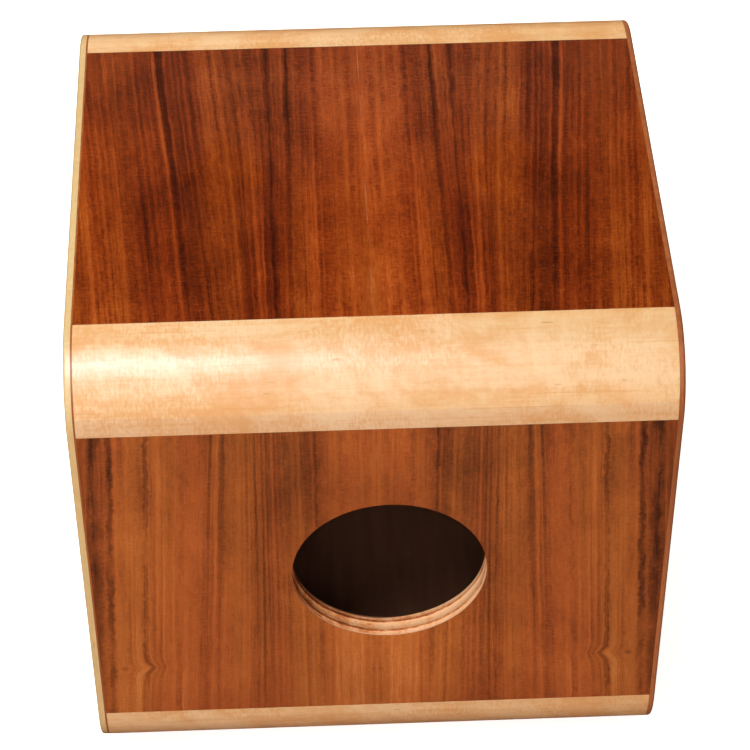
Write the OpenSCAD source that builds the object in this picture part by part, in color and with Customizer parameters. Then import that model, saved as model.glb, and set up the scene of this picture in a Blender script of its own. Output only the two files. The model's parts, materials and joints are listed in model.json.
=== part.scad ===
// Cajon: a rounded four-wall box drum with a struck tapa, a back plate and an internal snare.
// +Z is up, -Y is the tapa side, +X is the sound hole side. The origin is on the floor,
// under the centre of the box. All sizes are in millimetres.

/* [Body] */
// Length of the box from the tapa's face to the back plate's face
body_l = 301; // [260:1:340]
// Width of the box, from the far wall to the sound hole wall
body_w = 298; // [280:1:340]
// Height of the box, without its feet
body_h = 292; // [280:1:480]
// Outer radius of the rounded corner bars
corner_r = 39; // [30:1:50]
// Flat lip along both edges of each corner bar, apart from the one beside the seat and the sound hole
bar_lip = 3.5; // [0:0.5:8]
// Thickness of each wall, veneer included
wall_t = 13; // [11:0.5:16]
// Thickness of the veneer leaves on the seat and on the walls
veneer_t = 0.8; // [0.5:0.1:1.2]

/* [Tapa and back plate] */
// Thickness of the tapa's pale core
tapa_core_t = 3; // [2:0.1:4]
// Thickness of the thin sheet on each plate's outer face
face_t = 0.5; // [0.3:0.1:0.8]
// Thickness of the dark sheet between the tapa and the box
liner_t = 0.9; // [0.5:0.1:1.5]
// Thickness of the back plate's core
back_core_t = 2.5; // [2:0.1:5]

/* [Sound hole] */
// Radius of the sound hole
hole_r = 50; // [35:1:60]
// Distance of the sound hole from the box's middle, towards the back plate
hole_shift = 6.5; // [0:0.5:15]
// Height of the sound hole's middle above the box's middle
hole_lift = 3; // [0:0.5:15]

/* [Feet] */
// Height of the rubber feet
foot_h = 8; // [7:0.5:15]
// Radius of a foot where it meets the base
foot_r = 15; // [12:0.5:18]

/* [Snare] */
// Radius of the dowel that carries the snare wires
dowel_r = 8; // [7:0.5:9]
// Height of the dowel's axis above the box's underside
dowel_rise = 142; // [120:1:142]
// Number of coiled strands in each of the two snare sets
strands = 10; // [6:1:12]
// Length of each strand
strand_l = 112; // [80:1:118]
// Gap between the strands and the tapa at rest
snare_gap = 0.4; // [0.3:0.05:0.8]

/* [Hidden] */

$fn = 96;
eps = 0.01;
fit = 0.03;                              // radial room around a screw in its hole

// the box between its two end plates
tapa_t = face_t + tapa_core_t + liner_t;
back_t = back_core_t + face_t;
y_tapa = -body_l / 2 + tapa_t;           // inner face of the tapa
y_back = body_l / 2 - back_t;            // inner face of the back plate
tube_l = y_back - y_tapa;
z_base = foot_h;
z_seat = foot_h + body_h;
z_mid = foot_h + body_h / 2;
flat_x = body_w / 2 - corner_r;          // where the corner arcs start, from the box's middle
flat_z = body_h / 2 - corner_r;
core_t = wall_t - veneer_t;

// the lip of the corner bar at side_x and side_z, which are 1 or -1
function lip(side_x, side_z) = side_x > 0 && side_z > 0 ? 0 : bar_lip;
// where the panels on the side given meet their two corner bars
function seam_x(side_x, side_z) = side_x * (flat_x - lip(side_x, side_z));
function seam_z(side_x, side_z) = z_mid + side_z * (flat_z - lip(side_x, side_z));

// loose tongues that join the corner bars to the walls
spline_t = 3;
spline_w = 12;
spline_stop = 12;
spline_in = wall_t - core_t / 2;         // depth of a tongue's middle below the outer face

// tapa screws
screw_r = 1.75;
screw_l = 20;
screw_head_r = 3.5;
screw_head_h = 2;
screw_tip_h = 3;
recess_w = 0.8;
screw_edge = wall_t / 2;
screw_corner_r = corner_r - wall_t / 2;
screw_step = 0.85;                       // outer screws of a wall, as a share of its half flat

// feet
foot_x = 90;
foot_y = 100;
foot_bottom_r = foot_r - 2.5;            // the feet taper towards the floor
foot_pocket_r = 6.5;
foot_pocket_h = foot_h / 2;
washer_r = 6;
washer_t = 1;
foot_screw_r = 2;
foot_screw_head_r = 4;
foot_screw_head_h = 2.2;
foot_screw_grip = 9;

// snare
dowel_z = z_base + dowel_rise;
dowel_gap = 1.6;                         // gap between the dowel and the tapa
dowel_y = y_tapa + dowel_r + dowel_gap;
dowel_flat = dowel_r - 2;                // distance of the dowel's flat from its axis
plate_t = 1;
coil_room = dowel_y - y_tapa - dowel_flat - plate_t - snare_gap;
coil_r = coil_room / 2 - eps;
plate_w = 58;
plate_h = 17;
plate_low = -5;                          // the plate's lower edge, from the dowel's axis
strand_start = 4;                        // the strands' lower ends, from the dowel's axis
strand_pitch = 5;
fan_step = 0.9;                          // degrees between neighbouring strands
set_x = 58;                              // middle of each snare set
journal_r = 6;
journal_fit = 0.05;                      // radial running clearance of the journals
journal_end = 1;                         // room between a journal's tip and the wall
shoulder_gap = 0.4;
block_x = 20;
block_y = 27;
block_z = 44;
block_gap = 0.5;                         // gap between a block and the tapa
block_inner_x = body_w / 2 - wall_t - block_x;
block_screw_r = 1.75;
block_screw_head_r = 3.4;
block_screw_head_h = 2;
block_screw_l = block_x + 8;
block_screw_z = 15;
block_screw_y = 2;                       // the screws' offset from the dowel's axis
plate_screw_r = 1.2;
plate_screw_head_r = 2.6;
plate_screw_head_h = 1.2;
plate_screw_l = 7;
plate_screw_x = 20;
plate_screw_z = -1;

wood_red = "#8a4524";
wood_wall = "#a5552a";
maple = "#f0cf98";
ply = "#d9b184";
dark_wood = "#6e3d22";
steel = "#b9bcc0";
rubber = "#1f1f21";
beech = "#d6b48a";

// ---- shared shapes ----

// the box's rounded outline, extruded along Y from y0 to y1
module plate(y0, y1) {
    translate([0, y1, z_mid]) rotate([90, 0, 0]) linear_extrude(y1 - y0) rounded_outline();
}

module rounded_outline() {
    square([2 * flat_x, body_h], center = true);
    square([body_w, 2 * flat_z], center = true);
    for (sx = [-1, 1], sz = [-1, 1]) {
        translate([sx * flat_x, sz * flat_z]) circle(corner_r);
    }
}

// a block given by its lowest and highest corners
module box(low, high) {
    translate(low) cube(high - low);
}

// mirrors its children to the other side when side is -1
module on_side(side) {
    mirror([side < 0 ? 1 : 0, 0, 0]) children();
}

// ---- tapa screws and their holes ----

// places its children at every tapa screw: three on each wall and one in each corner
module at_tapa_screws() {
    y = -body_l / 2;
    for (s = [-1, 0, 1], side = [-1, 1]) {
        translate([s * flat_x * screw_step, y, z_mid + side * (body_h / 2 - screw_edge)]) children();
        translate([side * (body_w / 2 - screw_edge), y, z_mid + s * flat_z * screw_step]) children();
    }
    for (sx = [-1, 1], sz = [-1, 1]) {
        dx = sx * (flat_x + screw_corner_r * cos(45));
        dz = sz * (flat_z + screw_corner_r * sin(45));
        translate([dx, y, z_mid + dz]) children();
    }
}

// a countersunk screw along +Y with its head's top at the origin; grow widens it into its hole
module countersunk(r, l, head_r, head_h, grow = 0) {
    rotate([-90, 0, 0]) rotate_extrude() polygon([
        [0, 0],
        [head_r + grow, 0],
        [r + grow, head_h],
        [r + grow, l - screw_tip_h],
        [0, l]
    ]);
}

// a cross-shaped driver recess, cut along +Y; span is its full width
module cross_recess(span, depth) {
    for (turn = [0, 90]) rotate([0, turn, 0]) {
        translate([-span / 2, -eps, -recess_w / 2]) cube([span, depth + eps, recess_w]);
    }
}

module tapa_screw_holes() {
    at_tapa_screws() countersunk(screw_r, screw_l, screw_head_r, screw_head_h, fit);
}

// ---- walls and veneers ----

// the two tongues of one corner bar
module spline_pair(side_x, side_z) {
    x = seam_x(side_x, side_z);
    z = z_mid + side_z * (body_h / 2 - spline_in);
    y0 = y_tapa + spline_stop;
    y1 = y_back - spline_stop;
    box([x - spline_w / 2, y0, z - spline_t / 2], [x + spline_w / 2, y1, z + spline_t / 2]);
    wall_x = side_x * (body_w / 2 - spline_in);
    wall_z = seam_z(side_x, side_z);
    box([wall_x - spline_t / 2, y0, wall_z - spline_w / 2],
        [wall_x + spline_t / 2, y1, wall_z + spline_w / 2]);
}

module all_splines() {
    for (sx = [-1, 1], sz = [-1, 1]) spline_pair(sx, sz);
}

module seat_core() {
    color(ply) difference() {
        box([seam_x(-1, 1), y_tapa, z_seat - wall_t], [seam_x(1, 1), y_back, z_seat - veneer_t]);
        all_splines();
        tapa_screw_holes();
    }
}

module seat_leaf(y0, y1) {
    color(wood_red) box([seam_x(-1, 1), y0, z_seat - veneer_t], [seam_x(1, 1), y1, z_seat]);
}

module seat_veneer_tapa_half() {
    seat_leaf(y_tapa, 0);
}

module seat_veneer_back_half() {
    seat_leaf(0, y_back);
}

module base_core() {
    color(ply) difference() {
        box([seam_x(-1, -1), y_tapa, z_base], [seam_x(1, -1), y_back, z_base + wall_t]);
        all_splines();
        tapa_screw_holes();
        at_feet() translate([0, 0, z_base - eps]) {
            cylinder(r = foot_screw_r + fit, h = foot_screw_grip + 2 * eps);
        }
    }
}

// the plywood of a side wall: side is 1 for the sound hole wall and -1 for the far wall
module side_core(side) {
    color(ply) difference() {
        on_side(side) {
            box([body_w / 2 - wall_t, y_tapa, seam_z(side, -1)],
                [body_w / 2 - veneer_t, y_back, seam_z(side, 1)]);
        }
        all_splines();
        tapa_screw_holes();
        on_side(side) block_screws_at(fit);
    }
}

module sound_hole_cut() {
    translate([body_w / 2 - 2 * wall_t, hole_shift, z_mid + hole_lift]) {
        rotate([0, 90, 0]) cylinder(r = hole_r, h = 3 * wall_t, $fn = 180);
    }
}

module hole_wall_core() {
    difference() {
        side_core(1);
        color(ply) sound_hole_cut();
    }
}

module far_wall_core() {
    side_core(-1);
}

// one veneer leaf on a side wall
module side_leaf(side, y0, y1) {
    color(wood_wall) on_side(side) {
        box([body_w / 2 - veneer_t, y0, seam_z(side, -1)], [body_w / 2, y1, seam_z(side, 1)]);
    }
}

module hole_wall_leaf(y0, y1) {
    difference() {
        side_leaf(1, y0, y1);
        color(wood_wall) sound_hole_cut();
    }
}

module hole_wall_veneer_tapa_half() {
    hole_wall_leaf(y_tapa, 0);
}

module hole_wall_veneer_back_half() {
    hole_wall_leaf(0, y_back);
}

module far_wall_veneer_tapa_half() {
    side_leaf(-1, y_tapa, 0);
}

module far_wall_veneer_back_half() {
    side_leaf(-1, 0, y_back);
}

// ---- corner bars ----

// a quarter-round bar between two panels: side_x and side_z are 1 or -1 and pick the corner
module corner_bar(side_x, side_z) {
    start = side_x > 0 ? (side_z > 0 ? 0 : 270) : (side_z > 0 ? 90 : 180);
    color(maple) difference() {
        translate([side_x * flat_x, y_back, z_mid + side_z * flat_z]) {
            rotate([90, 0, 0]) rotate([0, 0, start]) linear_extrude(tube_l) {
                bar_section(lip(side_x, side_z));
            }
        }
        all_splines();
        tapa_screw_holes();
    }
}

// a quarter ring in the first quadrant, with a flat lip beyond each end
module bar_section(flat) {
    intersection() {
        difference() {
            circle(corner_r, $fn = 180);
            circle(corner_r - wall_t, $fn = 180);
        }
        square(2 * corner_r);
    }
    translate([-flat, corner_r - wall_t]) square([flat, wall_t]);
    translate([corner_r - wall_t, -flat]) square([wall_t, flat]);
}

module corner_bar_seat_hole_side() {
    corner_bar(1, 1);
}

module corner_bar_seat_far_side() {
    corner_bar(-1, 1);
}

module corner_bar_base_hole_side() {
    corner_bar(1, -1);
}

module corner_bar_base_far_side() {
    corner_bar(-1, -1);
}

module corner_splines() {
    color(beech) all_splines();
}

// ---- tapa and back plate ----

module tapa_sheet(y0, y1) {
    difference() {
        plate(y0, y1);
        tapa_screw_holes();
    }
}

module tapa_face_veneer() {
    color(maple) tapa_sheet(-body_l / 2, -body_l / 2 + face_t);
}

module tapa_core() {
    color(maple) tapa_sheet(-body_l / 2 + face_t, -body_l / 2 + face_t + tapa_core_t);
}

module tapa_liner() {
    color(dark_wood) tapa_sheet(y_tapa - liner_t, y_tapa);
}

module tapa_screws() {
    color(steel) at_tapa_screws() difference() {
        countersunk(screw_r, screw_l, screw_head_r, screw_head_h);
        cross_recess(3.8, 1.3);
    }
}

module back_plate_core() {
    color(wood_wall) plate(y_back, y_back + back_core_t);
}

module back_plate_face_veneer() {
    color(wood_red) plate(body_l / 2 - face_t, body_l / 2);
}

// ---- feet ----

module at_feet() {
    for (sx = [-1, 1], sy = [-1, 1]) translate([sx * foot_x, sy * foot_y, 0]) children();
}

// one rubber foot, with a pocket below for the washer and the screw's head
module foot(side_x, side_y) {
    color(rubber) translate([side_x * foot_x, side_y * foot_y, 0]) difference() {
        cylinder(r1 = foot_bottom_r, r2 = foot_r, h = foot_h);
        translate([0, 0, -eps]) cylinder(r = foot_pocket_r, h = foot_pocket_h + eps);
        cylinder(r = foot_screw_r + fit, h = foot_h + eps);
    }
}

module foot_tapa_hole_side() {
    foot(1, -1);
}

module foot_tapa_far_side() {
    foot(-1, -1);
}

module foot_back_hole_side() {
    foot(1, 1);
}

module foot_back_far_side() {
    foot(-1, 1);
}

module foot_washers() {
    color(steel) at_feet() translate([0, 0, foot_pocket_h - washer_t]) difference() {
        cylinder(r = washer_r, h = washer_t);
        translate([0, 0, -eps]) cylinder(r = foot_screw_r + fit, h = washer_t + 2 * eps);
    }
}

// a pan-head screw from below, through the washer and the foot into the base
module foot_screws() {
    seat_z = foot_pocket_h - washer_t;
    color(steel) at_feet() difference() {
        union() {
            translate([0, 0, seat_z - foot_screw_head_h]) {
                cylinder(r = foot_screw_head_r, h = foot_screw_head_h);
            }
            translate([0, 0, seat_z - eps]) {
                cylinder(r = foot_screw_r, h = foot_h - seat_z + foot_screw_grip);
            }
        }
        translate([0, 0, seat_z - foot_screw_head_h]) rotate([90, 0, 0]) cross_recess(4, 1.3);
    }
}

// ---- snare ----

module bearing_block(side) {
    y0 = y_tapa + block_gap;
    color(beech) on_side(side) difference() {
        box([block_inner_x, y0, dowel_z - block_z / 2],
            [block_inner_x + block_x, y0 + block_y, dowel_z + block_z / 2]);
        translate([block_inner_x - eps, dowel_y, dowel_z]) rotate([0, 90, 0]) {
            cylinder(r = journal_r + journal_fit, h = block_x + 2 * eps);
        }
        block_screws_at(fit);
    }
}

// two screws on the sound hole side, from inside the box through the block into the wall
module block_screws_at(grow) {
    for (s = [-1, 1]) {
        translate([block_inner_x, dowel_y + block_screw_y, dowel_z + s * block_screw_z]) {
            rotate([0, 0, -90]) {
                countersunk(block_screw_r, block_screw_l, block_screw_head_r, block_screw_head_h, grow);
            }
        }
    }
}

module bearing_block_hole_side() {
    bearing_block(1);
}

module bearing_block_far_side() {
    bearing_block(-1);
}

module bearing_block_screws() {
    color(steel) for (side = [-1, 1]) on_side(side) block_screws_at(0);
}

// places its children on the dowel's axis at height dowel_z
module on_dowel(x = 0) {
    translate([x, dowel_y, dowel_z]) children();
}

module at_plate_screws() {
    for (side = [-1, 1], s = [-1, 1]) {
        on_dowel(side * set_x + s * plate_screw_x) {
            translate([0, -dowel_flat - plate_t, plate_screw_z]) children();
        }
    }
}

// a small pan-head screw along +Y, its head standing out towards the tapa
module plate_screw(grow) {
    translate([0, -plate_screw_head_h, 0]) rotate([-90, 0, 0]) {
        cylinder(r = plate_screw_head_r, h = plate_screw_head_h);
    }
    translate([0, -eps, 0]) rotate([-90, 0, 0]) {
        cylinder(r = plate_screw_r + grow, h = plate_screw_l + eps);
    }
}

// the turning dowel: a round rod with a flat for the snare plates and a journal at each end
module snare_dowel() {
    half = block_inner_x - shoulder_gap;
    tip = block_inner_x + block_x - journal_end;
    color(beech) difference() {
        on_dowel() {
            rotate([0, 90, 0]) cylinder(r = dowel_r, h = 2 * half, center = true);
            rotate([0, 90, 0]) cylinder(r = journal_r, h = 2 * tip, center = true);
        }
        on_dowel() {
            box([-half - eps, -dowel_r - 1, -dowel_r], [half + eps, -dowel_flat, dowel_r]);
        }
        at_plate_screws() plate_screw(fit);
    }
}

module snare_plate(side) {
    color(steel) difference() {
        on_dowel(side * set_x) {
            box([-plate_w / 2, -dowel_flat - plate_t, plate_low],
                [plate_w / 2, -dowel_flat, plate_low + plate_h]);
        }
        at_plate_screws() rotate([-90, 0, 0]) {
            translate([0, 0, -eps]) cylinder(r = plate_screw_r + fit, h = plate_t + 2 * eps);
        }
    }
}

module snare_plate_hole_side() {
    snare_plate(1);
}

module snare_plate_far_side() {
    snare_plate(-1);
}

module snare_plate_screws() {
    color(steel) at_plate_screws() difference() {
        plate_screw(0);
        translate([0, -plate_screw_head_h, 0]) cross_recess(2.6, 0.7);
    }
}

// one set of coiled strands, each shown as its outer envelope, fanned upwards from the plate
module snare_wires(side) {
    color(steel) on_dowel(side * set_x) for (i = [0 : strands - 1]) {
        k = i - (strands - 1) / 2;
        translate([k * strand_pitch, -dowel_flat - plate_t - eps - coil_r, strand_start]) {
            rotate([0, k * fan_step, 0]) cylinder(r = coil_r, h = strand_l, $fn = 24);
        }
    }
}

module snare_wires_hole_side() {
    snare_wires(1);
}

module snare_wires_far_side() {
    snare_wires(-1);
}

// ---- the whole cajon ----

seat_core();
seat_veneer_tapa_half();
seat_veneer_back_half();
hole_wall_core();
hole_wall_veneer_tapa_half();
hole_wall_veneer_back_half();
far_wall_core();
far_wall_veneer_tapa_half();
far_wall_veneer_back_half();
base_core();
corner_bar_seat_hole_side();
corner_bar_seat_far_side();
corner_bar_base_hole_side();
corner_bar_base_far_side();
corner_splines();
tapa_core();
tapa_face_veneer();
tapa_liner();
tapa_screws();
back_plate_core();
back_plate_face_veneer();
foot_tapa_hole_side();
foot_tapa_far_side();
foot_back_hole_side();
foot_back_far_side();
foot_washers();
foot_screws();
bearing_block_hole_side();
bearing_block_far_side();
bearing_block_screws();
snare_dowel();
snare_plate_hole_side();
snare_plate_far_side();
snare_plate_screws();
snare_wires_hole_side();
snare_wires_far_side();
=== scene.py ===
import json
from functools import partial, partialmethod
from math import acos, atan2, copysign, cos, degrees, pi, radians, sin, sqrt

import bmesh
import bpy
import numpy as np
from mathutils import Matrix, Vector


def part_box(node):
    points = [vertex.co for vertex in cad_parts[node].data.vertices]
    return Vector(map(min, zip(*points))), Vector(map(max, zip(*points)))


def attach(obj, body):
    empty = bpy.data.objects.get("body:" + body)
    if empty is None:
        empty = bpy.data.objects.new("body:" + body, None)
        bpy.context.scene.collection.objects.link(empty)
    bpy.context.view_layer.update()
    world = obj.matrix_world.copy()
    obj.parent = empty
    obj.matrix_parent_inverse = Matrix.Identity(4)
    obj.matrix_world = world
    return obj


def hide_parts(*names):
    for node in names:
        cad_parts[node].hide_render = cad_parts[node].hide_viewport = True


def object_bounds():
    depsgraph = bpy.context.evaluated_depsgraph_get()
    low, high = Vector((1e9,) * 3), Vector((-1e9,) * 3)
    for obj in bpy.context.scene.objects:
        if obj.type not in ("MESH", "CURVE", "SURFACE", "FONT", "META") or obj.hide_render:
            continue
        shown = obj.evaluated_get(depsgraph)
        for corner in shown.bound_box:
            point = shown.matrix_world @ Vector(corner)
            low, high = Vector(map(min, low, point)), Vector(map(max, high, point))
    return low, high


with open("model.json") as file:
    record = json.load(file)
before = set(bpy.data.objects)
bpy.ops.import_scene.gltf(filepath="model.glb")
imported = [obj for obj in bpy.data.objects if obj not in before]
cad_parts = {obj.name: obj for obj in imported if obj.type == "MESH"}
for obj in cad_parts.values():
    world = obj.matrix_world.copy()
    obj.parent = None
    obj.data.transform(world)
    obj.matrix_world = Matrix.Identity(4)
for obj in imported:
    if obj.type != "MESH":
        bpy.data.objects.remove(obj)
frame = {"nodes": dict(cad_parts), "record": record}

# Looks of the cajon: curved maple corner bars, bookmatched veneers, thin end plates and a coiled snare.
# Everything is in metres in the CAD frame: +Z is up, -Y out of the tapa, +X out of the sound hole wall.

CAD_BOX = [list(corner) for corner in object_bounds()]
MM = 0.001
BOX = "cajon_box"
SNARE = "snare"

# ---- places and sizes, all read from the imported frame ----

bar_low, bar_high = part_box("corner_bar_seat_hole_side")
base_low, base_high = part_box("base_core")
plate_low, plate_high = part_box("tapa_core")
CORNER_R = bar_high.x - bar_low.x
WALL_T = base_high.z - base_low.z
SEAM_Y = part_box("seat_veneer_tapa_half")[1].y
TUBE_Y = (bar_low.y, bar_high.y)
HALF_W = plate_high.x
Z_LOW, Z_HIGH = plate_low.z, plate_high.z
Z_MID = (Z_LOW + Z_HIGH) / 2
ARC_X = HALF_W - CORNER_R
ARC_Z = (Z_HIGH - Z_LOW) / 2 - CORNER_R
TAPA_FACE_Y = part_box("tapa_face_veneer")[0].y
BACK_FACE_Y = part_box("back_plate_face_veneer")[1].y
SOUND_HOLE = next(m for m in frame["record"]["mounts"] if m["name"] == "sound_hole")
HOLE_R = SOUND_HOLE["dims"]["r_mm"] * MM
HOLE_Y, HOLE_Z = SOUND_HOLE["pos_m"][1:]

# ---- mesh tools ----

SAME_SPOT = 2e-6  # vertices of a CAD mesh closer than this are one
FLAT_ANGLE = 0.5  # CAD faces that meet at less than this many degrees are one
SMOOTH_ANGLE = 32  # edges sharper than this many degrees stay sharp in the shading
BEVEL_ANGLE = 30  # edges sharper than this many degrees are rounded


def arc(centre, radius, start, end, steps):
    """Points on a circle from start to end, in degrees, both ends included."""
    angles = np.radians(np.linspace(start, end, steps + 1))
    return [(centre[0] + radius * cos(a), centre[1] + radius * sin(a)) for a in angles]


def rounded_rect(low, high, radius, steps):
    """Counter-clockwise outline of a rectangle with round corners."""
    x0, x1 = low[0] + radius, high[0] - radius
    z0, z1 = low[1] + radius, high[1] - radius
    points = []
    for centre, start in (((x1, z1), 0), ((x0, z1), 90), ((x0, z0), 180), ((x1, z0), 270)):
        points += arc(centre, radius, start, start + 90, steps)
    return points


def inset_outline(points, distance):
    """A counter-clockwise outline moved inwards by distance, with mitred corners."""
    p = np.array(points, float)
    mitre = 0
    for edge in (p - np.roll(p, 1, axis=0), np.roll(p, -1, axis=0) - p):
        normal = np.stack([-edge[:, 1], edge[:, 0]], axis=1)
        mitre = mitre + normal / np.linalg.norm(normal, axis=1, keepdims=True)
    mitre *= 2 / (mitre ** 2).sum(axis=1, keepdims=True)
    return p + distance * mitre


def ring_faces(count, rings, wrap=False):
    """Quads that join each ring of count points to the next; wrap also joins the last to the first."""
    faces = []
    for ring in range(rings if wrap else rings - 1):
        here = ring * count
        there = (ring + 1) % rings * count
        for i in range(count):
            j = (i + 1) % count
            faces.append((here + i, here + j, there + j, there + i))
    return faces


def prism(outline, layers, place):
    """A solid with the outline as its section; layers are (depth, inset) pairs, place maps (u, v, depth)."""
    count = len(outline)
    verts = [place(u, v, depth) for depth, inset in layers for u, v in inset_outline(outline, inset)]
    last = count * (len(layers) - 1)
    caps = [tuple(range(count)), tuple(range(last, last + count))]
    return verts, ring_faces(count, len(layers)) + caps


def along_y(x, z, y):
    """Places a prism's outline in (x, z) and its depth along Y."""
    return x, y, z


def rings_about_z(profile, steps):
    """A ring of points about Z for each (radius, height) pair."""
    return [(x, y, height) for radius, height in profile
            for x, y in arc((0, 0), radius, 0, 360, steps)[:-1]]


def lathe(profile, steps):
    """A solid of revolution about Z from (radius, height) pairs; its first and last radius are 0."""
    rings = profile[1:-1]
    verts = [(0, 0, profile[0][1]), (0, 0, profile[-1][1])] + rings_about_z(rings, steps)
    faces = [tuple(2 + i for i in face) for face in ring_faces(steps, len(rings))]
    last = 2 + steps * (len(rings) - 1)
    for i in range(steps):
        j = (i + 1) % steps
        faces += [(0, 2 + j, 2 + i), (1, last + i, last + j)]
    return verts, faces


def ring_lathe(profile, steps):
    """A closed ring of revolution about Z from (radius, height) pairs."""
    return rings_about_z(profile, steps), ring_faces(steps, len(profile), wrap=True)


def merged(parts):
    """One vertex list and one face list from several (verts, faces) parts."""
    verts, faces = [], []
    for part_verts, part_faces in parts:
        faces += [tuple(len(verts) + i for i in face) for face in part_faces]
        verts += [tuple(v) for v in part_verts]
    return verts, faces


def moved(part, matrix):
    """A (verts, faces) part with its vertices put through a matrix."""
    verts, faces = part
    return [tuple(matrix @ Vector(v)) for v in verts], faces


def middle(low, high):
    """The point half way between two corners."""
    return [(a + b) / 2 for a, b in zip(low, high)]


def smooth_by_angle(mesh):
    mesh.shade_smooth()
    mesh.set_sharp_from_angle(angle=radians(SMOOTH_ANGLE))


def link(name, data):
    """A new object at the origin, linked to the scene."""
    obj = bpy.data.objects.new(name, data)
    bpy.context.scene.collection.objects.link(obj)
    return obj


def make_object(name, part):
    """A mesh object from (verts, faces), with outward normals."""
    mesh = bpy.data.meshes.new(name)
    verts, faces = part
    mesh.from_pydata(verts, [], faces)
    work = bmesh.new()
    work.from_mesh(mesh)
    bmesh.ops.recalc_face_normals(work, faces=work.faces)
    work.to_mesh(mesh)
    work.free()
    smooth_by_angle(mesh)
    return link(name, mesh)


def cad_copy(node, name):
    """A new object with a CAD node's shape, its split vertices joined and its flat faces merged."""
    mesh = frame["nodes"][node].data.copy()
    mesh.name = name
    mesh.materials.clear()
    work = bmesh.new()
    work.from_mesh(mesh)
    bmesh.ops.remove_doubles(work, verts=work.verts, dist=SAME_SPOT)
    flat = radians(FLAT_ANGLE)
    bmesh.ops.dissolve_limit(work, angle_limit=flat, verts=work.verts, edges=work.edges)
    work.to_mesh(mesh)
    work.free()
    return link(name, mesh)


def apply_modifiers(obj):
    """Replaces obj's mesh with its evaluated one and clears its modifiers."""
    evaluated = obj.evaluated_get(bpy.context.evaluated_depsgraph_get())
    mesh = bpy.data.meshes.new_from_object(evaluated)
    obj.modifiers.clear()
    obj.data = mesh
    smooth_by_angle(mesh)


def cut(obj, *cutters):
    """Takes the cutters' volumes away from obj and deletes the cutters."""
    for cutter in cutters:
        modifier = obj.modifiers.new("cut", "BOOLEAN")
        modifier.operation = "DIFFERENCE"
        modifier.solver = "EXACT"
        modifier.object = cutter
        apply_modifiers(obj)
        bpy.data.objects.remove(cutter)


def connected(start, seen):
    """The places of all vertices joined to start by edges, each marked as seen."""
    seen.add(start)
    group, stack = [], [start]
    while stack:
        vert = stack.pop()
        group.append(tuple(vert.co))
        for edge in vert.link_edges:
            other = edge.other_vert(vert)
            if other not in seen:
                seen.add(other)
                stack.append(other)
    return np.array(group)


def solids(node):
    """The low corner, high corner and points of each separate solid in a CAD node."""
    work = bmesh.new()
    work.from_mesh(frame["nodes"][node].data)
    bmesh.ops.remove_doubles(work, verts=work.verts, dist=SAME_SPOT)
    seen = set()
    groups = [connected(vert, seen) for vert in work.verts if vert not in seen]
    work.free()
    return [(points.min(axis=0), points.max(axis=0), points) for points in groups]


def finish_piece(obj, body, slot, *nodes):
    """Paints a piece, lets it ride on its body and stand for the CAD nodes it replaces."""
    obj.data.materials.clear()
    obj.data.materials.append(MATERIALS[slot])
    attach(obj, body)
    if nodes:
        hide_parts(*nodes)


def build_softened(node, suffix, width, body, slot, segments=2):
    """A CAD node's own shape with its sharp edges rounded."""
    piece = cad_copy(node, f"{node}_{suffix}")
    modifier = piece.modifiers.new("edges", "BEVEL")
    modifier.limit_method = "ANGLE"
    modifier.angle_limit = radians(BEVEL_ANGLE)
    modifier.width = width
    modifier.segments = segments
    modifier.use_clamp_overlap = True
    apply_modifiers(piece)
    finish_piece(piece, body, slot, node)


# ---- node graphs ----

HALF_CELL = 0.5  # shifts every noise along X, off the box's middle plane


def rgba(colour):
    """A colour tuple, or one number for a grey, with full alpha; a node's output stays as it is."""
    if isinstance(colour, bpy.types.NodeSocket):
        return colour
    return (*colour, 1) if isinstance(colour, tuple) else (colour, colour, colour, 1)


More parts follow.
